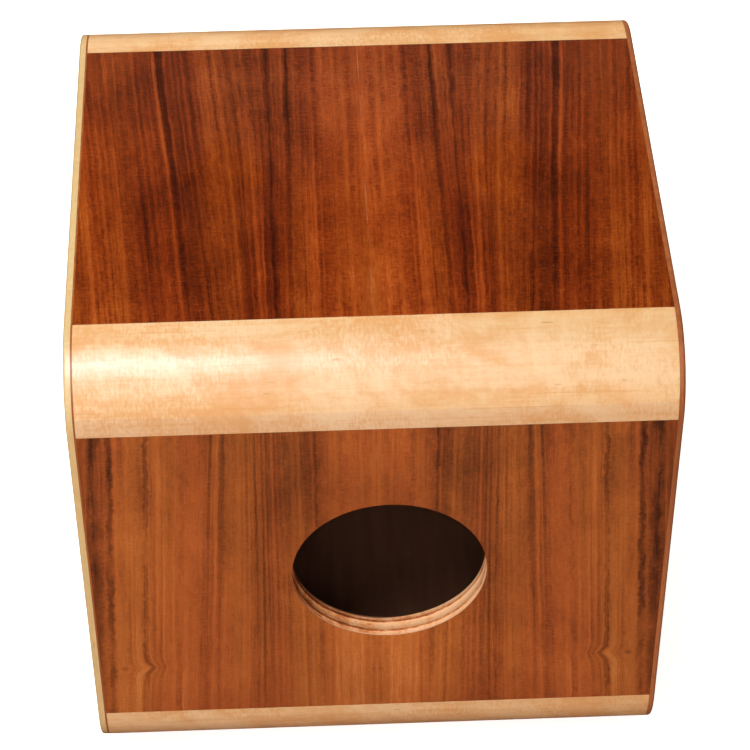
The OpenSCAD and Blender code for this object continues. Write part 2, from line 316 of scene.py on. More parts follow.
class Graph:
    """The node tree of a material or world, built with short calls that return output sockets."""

    def __init__(self, owner, coordinates="Object"):
        owner.use_nodes = True
        self.owner = owner
        self.nodes, self.links = owner.node_tree.nodes, owner.node_tree.links
        self.nodes.clear()
        place = self.node("TexCoord", {}).outputs[coordinates]
        split = self.node("SeparateXYZ", {"Vector": place})
        self.x, self.y, self.z = (split.outputs[i] for i in range(3))

    def node(self, kind, inputs, **settings):
        made = self.nodes.new("ShaderNode" + kind)
        for key, value in settings.items():
            setattr(made, key, value)
        for key, value in inputs.items():
            if isinstance(value, bpy.types.NodeSocket):
                self.links.new(value, made.inputs[key])
            else:
                made.inputs[key].default_value = value
        return made

    def math(self, operation, first, *others):
        """The operation on one value, or on two or more from left to right."""
        for other in others or (0,):
            first = self.node("Math", {0: first, 1: other}, operation=operation).outputs[0]
        return first

    add = partialmethod(math, "ADD")
    minus = partialmethod(math, "SUBTRACT")
    times = partialmethod(math, "MULTIPLY")
    over = partialmethod(math, "DIVIDE")
    power = partialmethod(math, "POWER")
    size = partialmethod(math, "ABSOLUTE")
    above = partialmethod(math, "GREATER_THAN")

    def swing(self, value, gain):
        """A 0 to 1 value moved to both sides of 0 and scaled."""
        return self.times(self.minus(value, 0.5), gain)

    def vector(self, x, y, z):
        return self.node("CombineXYZ", {0: x, 1: y, 2: z}).outputs[0]

    def noise(self, vector, detail=2, rough=0.5, twist=0):
        inputs = {"Vector": vector, "Scale": 1, "Detail": detail, "Roughness": rough, "Distortion": twist}
        return self.node("TexNoise", inputs).outputs["Fac"]

    def stretched(self, x, y, z, seed=0, **noise):
        """Noise with that many cells per metre along each axis."""
        shifted = self.node("Math", {0: self.x, 1: x, 2: HALF_CELL}, operation="MULTIPLY_ADD")
        height = self.add(self.times(self.z, z), seed)
        return self.noise(self.vector(shifted.outputs[0], self.times(self.y, y), height), **noise)

    def even(self, cells, **noise):
        """Noise with as many cells per metre along every axis."""
        return self.stretched(cells, cells, cells, **noise)

    def grain(self, along, across, length, seed, **noise):
        """Noise with its own number of cells per metre along one axis, and another across it."""
        cells = {"x": across, "y": across, "z": across, along: length}
        return self.stretched(seed=seed, **cells, **noise)

    def remap(self, value, low, high, to_low=0, to_high=1):
        """value from low..high to to_low..to_high, clamped, with a smooth step."""
        inputs = {"Value": value, "From Min": low, "From Max": high, "To Min": to_low, "To Max": to_high}
        return self.node("MapRange", inputs, interpolation_type="SMOOTHSTEP").outputs["Result"]

    def ramp(self, value, stops, mode="LINEAR"):
        """A colour ramp through the stops, which are (position, colour) pairs."""
        made = self.node("ValToRGB", {"Fac": value})
        made.color_ramp.interpolation = mode
        elements = made.color_ramp.elements
        while len(elements) < len(stops):
            elements.new(1)
        for element, (position, colour) in zip(elements, stops):
            element.position = position
            element.color = rgba(colour)
        return made.outputs["Color"]

    def mix(self, factor, a, b, mode="MIX"):
        inputs = {0: factor, 6: rgba(a), 7: rgba(b)}
        return self.node("Mix", inputs, data_type="RGBA", blend_type=mode).outputs[2]

    def tinted(self, factor, colour, tint):
        """The colour, multiplied by the tint where the factor is 1."""
        return self.mix(factor, colour, self.mix(1, colour, tint, "MULTIPLY"))

    def finish(self, colour, roughness, height, coat=0, coat_roughness=0.2, metallic=0, ior=1.45):
        """Ends a material with the principled shader; height is the bump in millimetres."""
        relief = self.node("Bump", {"Height": height, "Strength": 1, "Distance": MM})
        return self.output("BsdfPrincipled", "OutputMaterial", {
            "Base Color": colour, "Roughness": roughness, "Normal": relief.outputs[0], "IOR": ior,
            "Metallic": metallic, "Coat Weight": coat, "Coat Roughness": coat_roughness,
        })

    def output(self, shader_kind, output_kind, inputs):
        """Ends the tree with a shader, and returns the material or world."""
        shader = self.node(shader_kind, inputs)
        self.node(output_kind, {0: shader.outputs[0]})
        return self.owner


def material_graph(name):
    return Graph(bpy.data.materials.new(name))


# ---- wood ----

INSIDE_SHADE = (0.27, 0.115, 0.062)  # painted shade: the dark brown painted on every face inside the box


def below_skin(g):
    """Distance below the box's rounded outer skin, in metres."""
    right = g.minus(g.size(g.x), ARC_X)
    up = g.minus(g.size(g.minus(g.z, Z_MID)), ARC_Z)
    squares = g.add(g.power(g.math("MAXIMUM", right, 0), 2), g.power(g.math("MAXIMUM", up, 0), 2))
    inside = g.math("MINIMUM", g.math("MAXIMUM", right, up), 0)
    return g.minus(CORNER_R, g.add(g.math("SQRT", squares), inside))


def painted_inside_shade(g, colour, edge=0.15 * MM):
    """Painted shade on every surface that faces the inside of the box, or lies within edge of it: a dark,
    streaky brown.
    """
    shade_reach = g.add(below_skin(g), edge)
    inside = g.remap(shade_reach, WALL_T - 0.12 * MM, WALL_T - 0.02 * MM)
    streaks = g.stretched(14, 150, 14, detail=4)
    shade_colour = g.mix(streaks, tuple(0.6 * c for c in INSIDE_SHADE), tuple(1.5 * c for c in INSIDE_SHADE))
    return g.mix(inside, colour, shade_colour)


def bump(g, value, centre, width):
    """1 where value is at the centre, falling away to both sides over the width."""
    squares = g.add(g.power(g.minus(value, centre), 2), width ** 2)
    return g.over(width ** 2, squares)


def pin_knot(g, across, run, place, height):
    """Grain that jogs towards the seam beside a pin knot, and how dark the knot is, both at a place in mm."""
    beside = bump(g, across, (place - 13) * MM, 9 * MM)
    jog = g.times(beside, bump(g, run, height * MM, 3.6 * MM), 4.2 * MM)
    near = g.times(bump(g, across, place * MM, 2.4 * MM), bump(g, run, height * MM, 2 * MM))
    return g.add(across, jog), g.remap(near, 0.25, 1, 0, 0.28)


def even_ribs(g, across, warp, start, end, pitch, depth):
    """Growth rings of even width between two distances from the seam in mm, as a swing about 0."""
    soft = 6  # mm over which the rings set in and die out
    phase = g.over(across, pitch * MM / (2 * pi))
    wave = g.math("SINE", g.add(phase, g.swing(warp, 9)))
    rise = g.remap(across, start * MM, (start + soft) * MM)
    fall = g.remap(across, end * MM, (end - soft) * MM)
    return g.times(g.times(wave, depth), g.times(rise, fall))


def veneer(name, look):
    """Bookmatched veneer: its streaks mirror about the seam and run along the look's second axis."""
    g = material_graph(name)
    across, run, through = (getattr(g, axis) for axis in look["axes"])
    from_seam = g.size(g.minus(across, look["seam"]))
    second_leaf = g.above(across, look["seam"])
    lean = g.times(run, g.remap(from_seam, 40 * MM, 80 * MM, 0, look["lean"]))
    straight = g.add(from_seam, lean)
    both_leaves = g.add(g.times(through, 7), look["seed"])
    each_leaf = g.add(both_leaves, g.times(second_leaf, 0.35))

    def layer(spot, cells, shift, seed=both_leaves, **noise):
        """Noise at a spot across and along the grain, with that many cells per metre each way."""
        place = g.vector(g.times(spot[0], cells[0]), g.times(spot[1], cells[1]), g.add(seed, shift))
        return g.noise(place, **noise)

    wander = g.swing(layer((straight, run), (9, 5), 0, detail=3), look["wander"])
    ripple = g.swing(layer((straight, run), (70, 60), 3, detail=4, rough=0.7), look["ripple"])
    bent = g.add(straight, wander, ripple)
    knot = 0
    if look["knot"]:
        bent, knot = pin_knot(g, bent, run, *look["knot"])
    run = g.minus(run, look["middle"])
    in_grain = (bent, run)
    on_face = (from_seam, run)
    plank = g.ramp(g.over(bent, PROFILE_REACH), look["profile"], "B_SPLINE")
    bands = layer(in_grain, (look["band_cells"], 1.5), 11, detail=3, rough=0.6)
    streaks = layer(in_grain, (300, 2.4), 17, detail=4, rough=0.66)
    fibre = layer(in_grain, (1300, 90), 23, detail=3, rough=0.7)
    beads = layer(in_grain, (260, 700), 27, rough=0.6)
    pores = layer(in_grain, (1500, 260), 29)
    patch = layer(in_grain, (45, 6), 0)
    grit = layer(on_face, (900, 700), 28, each_leaf, detail=1)
    mottle = layer(on_face, (42, 22), 31, each_leaf, detail=7, rough=0.7)

    strong = g.remap(patch, 0.38, 0.62, 0.55, 1.5)
    shaded = g.remap(streaks, 0.6, 0.38, 0.25, 1)
    speck = g.times(g.remap(pores, 0.36, 0.27), shaded)
    tone = g.add(
        plank, g.swing(bands, look["bands"]), g.times(g.swing(streaks, look["streaks"]), strong),
        even_ribs(g, bent, bands, *look["ribs"]), g.swing(fibre, look["fibre"]),
        g.swing(grit, look["grit"]), g.swing(mottle, look["mottle"]),
        g.times(g.swing(beads, 2.4 * look["grit"]), shaded), g.times(second_leaf, look["lift"]),
    )
    tone = g.minus(tone, g.times(speck, 0.14))
    # painted light and shade: the tone changes steadily along the grain; the wall is painted darker at the
    # top and lighter at the bottom
    tone = g.minus(g.add(tone, g.times(run, look["fade"])), knot)
    jagged = g.swing(layer(on_face, (120, 150), 41, each_leaf, detail=5, rough=0.75), 7 * MM)
    broken = g.remap(layer(in_grain, (90, 26), 43, each_leaf, detail=3), 0.36, 0.58, 0.25, 1)
    ragged = g.add(bent, g.times(jagged, look["jag"]))
    for place, half_width, depth in look["lines"]:
        reach = half_width * MM
        line = g.remap(g.size(g.minus(ragged, place * MM)), reach, 0.2 * reach)
        tone = g.minus(tone, g.times(line, broken, depth))

    golden = g.remap(layer(in_grain, (34, 2.2), 47, detail=3), 0.4, 0.62, 0.1, 0.55)
    colour = g.tinted(golden, g.ramp(tone, list(zip(TONES, look["colours"]))), look["gold"])
    dust = g.remap(g.even(520, detail=1), 0.775, 0.8, 0, 0.3)
    colour = g.mix(dust, colour, (0.34, 0.24, 0.2))
    open_seam = g.remap(layer(on_face, (10, 24), 51, detail=3), 0.47, 0.66, 0, 0.5)
    seam = g.times(g.remap(from_seam, 0.4 * MM, 0.15 * MM), open_seam)
    colour = g.mix(seam, colour, (0.6, 0.3, 0.15))
    # painted highlight: the leaves' cut edges are painted pale, where the light catches them
    if look["cut_edge"]:
        colour = g.mix(g.remap(below_skin(g), 0.22 * MM, 0.34 * MM), colour, (0.85, 0.48, 0.28))
    rough = g.add(0.27, g.times(fibre, 0.12), g.times(g.even(22, detail=5), 0.08))
    height = g.minus(g.add(g.swing(fibre, 0.014), g.swing(mottle, 0.05)), g.times(speck, 0.03))
    return g.finish(colour, rough, height, coat=look["coat"], coat_roughness=0.16, ior=look["ior"])


def maple(name, along, light, dark, figure, corner_bar=False):
    """Pale wood with faint growth lines, mottled figure, fine cross ticks and short brown flecks."""
    g = material_graph(name)
    grain = partial(g.grain, along)
    growth = grain(230, 6, 0, detail=4, rough=0.7)
    fine = grain(800, 120, 5, detail=3, rough=0.7)
    mottle = grain(38, 24, 9, detail=8, rough=0.72, twist=0.6)
    cloud = grain(16, 11, 13, detail=3, twist=0.8)
    ticks = grain(300, 800, 19, detail=3, rough=0.65)
    ripple = grain(70, 330, 23, detail=3, rough=0.6)
    lines = grain(420, 9, 29)
    pink = grain(26, 12, 31, detail=4, rough=0.6)
    waves = grain(34, 40, 35, twist=0.5)
    flecks = grain(520, 70, 37, detail=1, rough=0.4)
    ticked = g.remap(grain(22, 16, 41), 0.42, 0.62, 0.15, 1)
    # painted sheen: slanted pale waves in the colour stand for the reflection that shimmers across the curly
    # figure
    slanted = g.vector(g.add(g.times(g.y, 30), g.times(g.z, 26)), g.times(g.x, 26), g.times(g.z, 9))
    painted_sheen = g.remap(g.noise(slanted, detail=5, rough=0.6, twist=0.7), 0.36, 0.62, -0.5, 0.5)

    tone = g.add(
        0.55, g.swing(growth, 0.66), g.swing(fine, 0.46), g.swing(mottle, 1.3 * figure),
        g.swing(cloud, 0.55 * figure), g.times(painted_sheen, 0.24 * figure),
        g.times(g.swing(ticks, 1.1 * figure), ticked), g.swing(ripple, 0.3 * figure),
    )
    tone = g.minus(tone, g.remap(lines, 0.64, 0.72, 0, 0.22))
    colour = g.mix(g.remap(tone, 0.15, 0.95), dark, light)
    colour = g.tinted(g.remap(pink, 0.5, 0.7, 0, 0.35), colour, (1.02, 0.88, 0.84))
    if corner_bar:
        colour = bar_tones(g, colour)
    colour = g.mix(g.remap(flecks, 0.735, 0.8, 0, 0.62), colour, (0.6, 0.28, 0.09))
    if corner_bar:
        # painted shade on the bar's inner faces
        colour = painted_inside_shade(g, colour)
    rough = g.add(0.38, g.swing(mottle, 0.5))
    height = g.add(g.swing(waves, 0.45 * figure), g.swing(mottle, 0.1 * figure))
    height = g.add(height, g.add(g.swing(fine, 0.02), g.swing(ripple, 0.03)))
    return g.finish(colour, rough, height, coat=1, coat_roughness=0.25, ior=1.6)


def bar_tones(g, colour):
    """A warmer colour towards the back plate, and a strip of painted shade along the foot of the bar above
    the hole.
    """
    colour = g.tinted(g.remap(g.y, -0.04, 0.13), colour, (0.99, 0.955, 0.88))
    # painted shade: the bar is painted duller from where its rounding meets the wall up to 10.8 mm above it
    above_shade_strip = g.minus(g.z, Z_MID + ARC_Z + 10.8 * MM)
    shade_strip = g.times(g.remap(above_shade_strip, 0.8 * MM, -0.8 * MM), g.above(g.z, Z_MID))
    shade_strip = g.times(shade_strip, g.above(g.x, 0))
    return g.tinted(shade_strip, colour, (0.93, 0.92, 0.98))


# plies of the wall's cut edge: depth of each ply's start below the outer face in mm, and how dark it is
PLIES = ((0, 0.2), (3.1, 0.64), (4.5, 0.08), (9.2, 0.72), (10.5, 0.22))
GLUE_LINE = 0.28  # mm over which the tone changes from one ply to the next, on each side


def ply_stops():
    """The plies as stops of a grey ramp over the wall's thickness."""
    ends = [start for start, _ in PLIES[1:]] + [WALL_T / MM]
    stops = []
    for (start, tint), end in zip(PLIES, ends):
        first = start + GLUE_LINE if start else 0
        stops += [(first * MM / WALL_T, tint), ((end - GLUE_LINE) * MM / WALL_T, tint)]
    return stops


def plywood(name):
    """Cut plywood edges in the sound hole, painted lighter towards the back where the light falls, a bare
    face under the base and painted shade on the faces inside.
    """
    g = material_graph(name)
    wobble = g.swing(g.even(70, detail=4), 1)
    bent = g.add(below_skin(g), g.times(wobble, 1.3 * MM))
    dark = g.ramp(g.over(bent, WALL_T), ply_stops())
    torn = g.stretched(700, 300, 300, detail=5, rough=0.75)
    blotch = g.stretched(80, 95, 95, detail=4, rough=0.65)
    toward_lit_back = g.over(g.minus(g.y, HOLE_Y), HOLE_R)
    tone = g.add(dark, g.swing(torn, 1.3), g.swing(blotch, 1.6))
    # painted light and shade: the cut edge is painted lighter towards the back plate, where the light falls
    # on it, and darker towards the tapa
    tone = g.minus(tone, g.times(toward_lit_back, 0.34))
    colour = g.ramp(tone, [(0, (1, 0.56, 0.29)), (0.3, (0.9, 0.37, 0.135)),
                           (0.6, (0.56, 0.15, 0.04)), (1, (0.2, 0.045, 0.013))])
    # the painted shade inside reaches further over the cut edge on the tapa side, away from the light
    shade_reach = g.times(g.remap(toward_lit_back, 0.35, -0.15), 0.7 * MM)
    shade_reach = g.add(shade_reach, g.times(wobble, 0.8 * MM), 0.15 * MM)
    colour = painted_inside_shade(g, colour, shade_reach)
    under = g.remap(g.z, Z_LOW + 0.1 * MM, Z_LOW + 0.05 * MM)
    face_grain = g.stretched(6, 160, 6, detail=5, rough=0.65, twist=0.4)
    face = g.ramp(face_grain, [(0.3, (0.36, 0.17, 0.075)), (0.7, (0.55, 0.3, 0.15))])
    colour = g.mix(under, colour, face)
    height = g.add(g.swing(torn, 0.15), g.times(dark, -0.1))
    return g.finish(colour, g.add(0.42, g.times(torn, 0.2)), height)


def red_wood(name, light, dark):
    """Plain red-brown wood, its grain upright, for the back plate and the thin line behind the tapa."""
    g = material_graph(name)
    wave = g.grain("z", 150, 3, 1, detail=5, rough=0.62, twist=0.5)
    fibre = g.grain("z", 1300, 40, 7, detail=3, rough=0.6)
    pore = g.remap(g.grain("z", 1700, 160, 13), 0.33, 0.26, 0, 0.6)
    tone = g.add(g.times(wave, 1.1), g.times(fibre, 0.5))
    colour = g.mix(g.remap(tone, 0.45, 1.1), dark, light)
    colour = g.mix(pore, colour, tuple(0.35 * c for c in dark))
    height = g.minus(g.swing(fibre, 0.02), g.times(pore, 0.04))
    rough = g.add(0.28, g.times(fibre, 0.14))
    return g.finish(colour, rough, height, coat=0.3, coat_roughness=0.18)


def metal(name, colour, roughness):
    """Plated or drawn steel with fine brushing and slight tarnish."""
    g = material_graph(name)
    brushed = g.stretched(700, 700, 90, detail=4, rough=0.7)
    tarnish = g.even(160, detail=4)
    tint = g.mix(g.remap(tarnish, 0.45, 0.75), colour, tuple(0.62 * c for c in colour))
    rough = g.add(roughness, g.times(brushed, 0.18))
    return g.finish(tint, rough, g.swing(brushed, 0.01), metallic=0.7)


def rubber(name):
    """Black rubber with a moulded grain and a little dust."""
    g = material_graph(name)
    grain = g.even(1500, detail=3)
    dust = g.remap(g.even(240, detail=4), 0.5, 0.75, 0, 0.35)
    colour = g.mix(dust, (0.018, 0.018, 0.019), (0.09, 0.085, 0.08))
    rough = g.add(0.55, g.times(grain, 0.3))
    return g.finish(colour, rough, g.swing(grain, 0.08))


# Looks of the veneers. axes: across the grain, along it and through the leaf. lean, wander and ripple bend
# the grain. bands, streaks, mottle, grit and fibre say how much each layer of figure moves the tone,
# fade by how much painted light and shade change it per metre away from middle, and lift by
# how much it differs on the second leaf.
# profile is the tone from the seam outwards, as a share of PROFILE_REACH. ribs are even rings: start, end
# and pitch in mm, and depth. lines are dark growth lines: distance from the seam and half width in mm, and
# depth. knot is a distance from the seam and a height in mm. colours are those of TONES, and gold tints
# the golden patches.
PROFILE_REACH = 150 * MM
TONES = (0, 0.3, 0.55, 0.8, 1)
SEAT_LOOK = dict(
    axes="yxz", seam=SEAM_Y, middle=0, seed=2, lean=0.09, wander=6 * MM, ripple=2 * MM,
    streaks=1.3, mottle=0.8, bands=0.6, band_cells=75, grit=0.28, fibre=0.52, fade=0.1,
    lift=0.02, jag=0.5, ribs=(50, 94, 4, 0.05), knot=None, cut_edge=True,
    coat=0.08, ior=1.32, gold=(0.96, 1.26, 1.05),
    profile=[(0, 0.66), (0.1, 0.63), (0.18, 0.56), (0.24, 0.44), (0.3, 0.34), (0.36, 0.5),
             (0.46, 0.46), (0.56, 0.4), (0.64, 0.26), (0.7, 0.4), (0.8, 0.46), (0.88, 0.52), (1, 0.6)],
    lines=[(47.5, 3.6, 0.28), (39, 1.8, 0.12), (97, 4.5, 0.15), (62, 1.8, 0.1), (141, 2, 0.2)],
    colours=[(0.042, 0.0049, 0.0009), (0.129, 0.0152, 0.0017), (0.25, 0.0345, 0.0033),
             (0.395, 0.07, 0.0088), (0.52, 0.125, 0.024)],
)
WALL_LOOK = dict(
    axes="yzx", seam=SEAM_Y, middle=Z_MID, seed=5, lean=0.055, wander=2.5 * MM, ripple=1.6 * MM,
    streaks=0.92, mottle=0.58, bands=0.6, band_cells=46, grit=0.18, fibre=0.42, fade=-1.35,
    lift=-0.03, jag=1, ribs=(33, 74, 3.1, 0.045), knot=(138, 87), cut_edge=True,
    coat=0.35, ior=1.45, gold=(0.96, 1.26, 1.05),
    profile=[(0, 0.66), (0.14, 0.62), (0.22, 0.52), (0.3, 0.46), (0.36, 0.5), (0.42, 0.4),
             (0.5, 0.46), (0.6, 0.5), (0.74, 0.6), (0.83, 0.52), (0.91, 0.7), (0.96, 0.48), (1, 0.42)],
    lines=[(127, 2, 0.25), (145, 2.6, 0.34), (152, 4, 0.3), (109, 1.6, 0.12), (66, 1.6, 0.1),
           (57, 1.2, 0.07), (30, 1.4, 0.12)],
    colours=[(0.07, 0.014, 0.004), (0.25, 0.05, 0.0095), (0.44, 0.094, 0.017),
             (0.58, 0.145, 0.03), (0.7, 0.22, 0.06)],
)
BACK_LOOK = dict(
    WALL_LOOK, axes="xzy", seam=0, seed=9, wander=9 * MM, fade=0, knot=None, cut_edge=False,
    lines=[(18, 1.8, 0.22), (52, 2.6, 0.3), (88, 1.6, 0.2), (121, 3, 0.26)],
    colours=[(0.045, 0.008, 0.0025), (0.15, 0.028, 0.006), (0.29, 0.06, 0.012),
             (0.42, 0.1, 0.022), (0.55, 0.17, 0.045)],
)
TAPA_LOOK = dict(
    BACK_LOOK, seed=14, lean=0.03, wander=14 * MM, streaks=0.8, mottle=0.5, bands=0.5,
    band_cells=38, grit=0.1, fibre=0.3, lift=0, ribs=(20, 110, 4.6, 0.05),
    gold=(1, 1.03, 0.9),
    profile=[(0, 0.66), (0.2, 0.6), (0.36, 0.5), (0.52, 0.58), (0.7, 0.5), (0.86, 0.62), (1, 0.56)],
    lines=[(34, 1.6, 0.08), (71, 2.2, 0.1), (104, 1.6, 0.08), (132, 2.4, 0.1)],
    colours=[(0.46, 0.23, 0.085), (0.64, 0.36, 0.15), (0.77, 0.48, 0.22), (0.86, 0.6, 0.32),
             (0.92, 0.69, 0.41)],
)
# what builds each material slot of the record; the two colours of a plain wood are its light and dark grain,
# and True marks the wood of the corner bars
LOOKS = {
    "seat_veneer": (veneer, SEAT_LOOK),
    "wall_veneer": (veneer, WALL_LOOK),
    "back_face": (veneer, BACK_LOOK),
    "tapa_face": (veneer, TAPA_LOOK),
    "maple": (maple, "y", (0.97, 0.66, 0.37), (0.86, 0.44, 0.17), 1.15, True),
    "tapa_core_wood": (maple, "z", (0.88, 0.66, 0.34), (0.74, 0.49, 0.2), 0.3),
    "beech": (maple, "x", (0.62, 0.39, 0.22), (0.45, 0.25, 0.12), 0.1),
    "dark_liner": (red_wood, (0.5, 0.16, 0.045), (0.28, 0.075, 0.02)),
    "back_core_wood": (red_wood, (0.5, 0.165, 0.056), (0.32, 0.085, 0.026)),
    "birch_ply": (plywood,),
    "steel_screw": (metal, (0.62, 0.61, 0.58), 0.3),
    "snare_steel": (metal, (0.72, 0.72, 0.73), 0.22),
    "foot_rubber": (rubber,),
}
MATERIALS = {slot: build(slot, *look) for slot, (build, *look) in LOOKS.items()}

# ---- the box ----

JOINT_EASE = 0.18 * MM  # the tiny rounding where two pieces of wood meet flush
EDGE_R = 1.5 * MM  # the rounded-over rims of the tapa and the back plate
PLY_WEAR = 0.1 * MM  # how far every other ply is worn back in the sound hole


def bar_outline(side_x, side_z, node):
    """A corner bar's section in (x, z), counter-clockwise, with its flat lips."""
    low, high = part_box(node)
    lip = (high.x - low.x) - CORNER_R
    inner_r = CORNER_R - WALL_T
    outer_arc = arc((0, 0), CORNER_R, 0, 90, 44)
    inner_arc = arc((0, 0), inner_r, 90, 0, 28)
    section = outer_arc + inner_arc
    if lip > JOINT_EASE:
        upper_lip = [(-lip, CORNER_R), (-lip, inner_r)]
        section = [(CORNER_R, -lip)] + outer_arc + upper_lip + inner_arc + [(inner_r, -lip)]
    points = [(side_x * (ARC_X + u), Z_MID + side_z * (ARC_Z + v)) for u, v in section]
    return points if side_x * side_z > 0 else points[::-1]


def build_bars():
    y0, y1 = TUBE_Y
    layers = [(y0, JOINT_EASE), (y0 + JOINT_EASE, 0), (y1 - JOINT_EASE, 0), (y1, JOINT_EASE)]
    for side_x, x_word in ((1, "hole_side"), (-1, "far_side")):
        for side_z, z_word in ((1, "seat"), (-1, "base")):
            node = f"corner_bar_{z_word}_{x_word}"
            part = prism(bar_outline(side_x, side_z, node), layers, along_y)
            bar = make_object(f"{node}_wood", part)
            cut(bar, cad_copy("corner_splines", "cutter"))
            finish_piece(bar, BOX, "maple", node)


def leaf_outline(low, high, bite):
    """A veneer leaf's outline in (y, run), with the sound hole's arc bitten out of its seam side."""
    y0, y1 = low[0], high[0]
    corners = [(y0, low[1]), (y1, low[1]), (y1, high[1]), (y0, high[1])]
    if not bite:
        return corners
    turn = degrees(acos((SEAM_Y - HOLE_Y) / HOLE_R))
    if abs(y1 - SEAM_Y) < abs(y0 - SEAM_Y):
        return corners[:2] + arc((HOLE_Y, HOLE_Z), HOLE_R, 360 - turn, turn, 72) + corners[2:]
    return corners + arc((HOLE_Y, HOLE_Z), HOLE_R, turn, -turn, 72)


def build_leaf(node, face, slot, bite=False):
    """A thin veneer leaf; face is the side and axis it looks out along, such as '+X'."""
    low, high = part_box(node)
    axis = 0 if face[1] == "X" else 2
    run = 2 - axis
    outer, inner = (high[axis], low[axis]) if face[0] == "+" else (low[axis], high[axis])
    ease = copysign(JOINT_EASE, inner - outer)
    layers = [(inner, 0), (outer + ease, 0), (outer + 0.3 * ease, 0.3 * JOINT_EASE), (outer, JOINT_EASE)]
    place = (lambda y, x, z: (x, y, z)) if axis == 2 else (lambda y, z, x: (x, y, z))
    outline = leaf_outline((low.y, low[run]), (high.y, high[run]), bite)
    leaf = make_object(f"{node}_leaf", prism(outline, layers, place))
    finish_piece(leaf, BOX, slot, node)


def build_leaves():
    for half in ("tapa_half", "back_half"):
        build_leaf(f"seat_veneer_{half}", "+Z", "seat_veneer")
        build_leaf(f"hole_wall_veneer_{half}", "+X", "wall_veneer", bite=True)
        build_leaf(f"far_wall_veneer_{half}", "-X", "wall_veneer")


def hole_profile(low_x, high_x):
    """The sound hole's wall as (x, radius) pairs: stepped plies, then a worn inner edge."""
    gap = 0.05 * MM
    steps = [HALF_W - start * MM for start, _ in PLIES[1:]]
    profile = []
    for i, (start, end) in enumerate(zip([high_x + gap] + steps, steps + [low_x + 0.5 * MM])):
        radius = HOLE_R + (0 if i % 2 else PLY_WEAR)
        profile += [(start - gap, radius), (end + gap, radius)]
    return profile + [(low_x + 0.15 * MM, HOLE_R + 0.12 * MM), (low_x, HOLE_R + 0.45 * MM)]


def build_hole_wall():
    """The thick ply wall with its sound hole, each ply worn back a little differently."""
    low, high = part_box("hole_wall_core")
    corners = [atan2(z - HOLE_Z, y - HOLE_Y) for y in (low.y, high.y) for z in (low.z, high.z)]
    angles = sorted(list(np.linspace(-pi, pi, 180, endpoint=False)) + corners)

    def reach(a):
        """How far a ray from the hole's centre runs to the wall's rim."""
        rims = ((cos(a), low.y - HOLE_Y, high.y - HOLE_Y),
                (sin(a), low.z - HOLE_Z, high.z - HOLE_Z))
        return min((above if part > 0 else below) / part for part, below, above in rims if abs(part) > 1e-9)

    def ring(x, radii):
        return [(x, HOLE_Y + r * cos(a), HOLE_Z + r * sin(a)) for a, r in zip(angles, radii)]

    rim = [reach(a) for a in angles]
    rings = [ring(low.x, rim), ring(high.x, rim)]
    rings += [ring(x, [radius] * len(angles)) for x, radius in hole_profile(low.x, high.x)]
    verts = [point for points in rings for point in points]
    wall = make_object("hole_wall_ply", (verts, ring_faces(len(angles), len(rings), wrap=True)))
    cut(wall, cad_copy("corner_splines", "cutter"), cad_copy("bearing_block_screws", "cutter"))
    finish_piece(wall, BOX, "birch_ply", "hole_wall_core")


def rim_layers(y_face, y_start, y_end, steps):
    """(depth, inset) pairs of a plate whose rim is rounded over from its outer face at y_face."""
    layers = []
    for y in np.linspace(y_start, y_end, steps + 1):
        depth = min(abs(y - y_face), EDGE_R)
        layers.append((float(y), EDGE_R - sqrt(EDGE_R ** 2 - (EDGE_R - depth) ** 2)))
    return layers


def build_sheet(node, y_face, slot, steps, cutter=None):
    """One sheet of an end plate whose outer face lies at y_face."""
    low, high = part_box(node)
    start, end = sorted((low.y, high.y), key=lambda y: abs(y - y_face))
    outline = rounded_rect((low.x, low.z), (high.x, high.z), CORNER_R, 30)
    sheet = make_object(f"{node}_sheet", prism(outline, rim_layers(y_face, start, end, steps), along_y))
    if cutter:
        cut(sheet, cutter)
    finish_piece(sheet, BOX, slot, node)


def screw_sinks():
    """Countersunk holes for the tapa's screws, as one cutter object."""
    room = 0.12 * MM
    head_r, head_h, shank_r = TAPA_SCREW
    wide, narrow, deep = head_r + room, shank_r + room, 6 * MM
    profile = [(0, -head_h), (wide + head_h, -head_h), (wide, 0), (narrow, head_h), (narrow, deep), (0, deep)]
    hole = lathe(profile, 28)
    places = [screw_place(solid, 1, TAPA_FACE_Y, ("X", -90), 0) for solid in solids("tapa_screws")]
    return make_object("cutter", merged([moved(hole, place) for place in places]))


def build_end_plates():
    build_sheet("back_plate_face_veneer", BACK_FACE_Y, "back_face", 5)
    build_sheet("back_plate_core", BACK_FACE_Y, "back_core_wood", 7)
    for node, slot, steps in (("tapa_face_veneer", "tapa_face", 5), ("tapa_core", "tapa_core_wood", 8),
                              ("tapa_liner", "dark_liner", 2)):
        build_sheet(node, TAPA_FACE_Y, slot, steps, screw_sinks())


def build_panels():
    """The three panels with no sound hole, and the loose tongues in the corners."""
    for node, slot in (("seat_core", "birch_ply"), ("far_wall_core", "birch_ply"), ("base_core", "birch_ply"),
                       ("corner_splines", "beech")):
        build_softened(node, "panel", 0.15 * MM, BOX, slot, segments=1)


# ---- screws, washers and feet ----

# head radius, head height and shank radius of each countersunk screw
TAPA_SCREW = (3.5 * MM, 2 * MM, 1.75 * MM)
BLOCK_SCREW = (3.4 * MM, 2 * MM, 1.75 * MM)
# head radius and shank radius of each pan-head screw
FOOT_SCREW = (4 * MM, 2 * MM)
PLATE_SCREW = (2.6 * MM, 1.2 * MM)
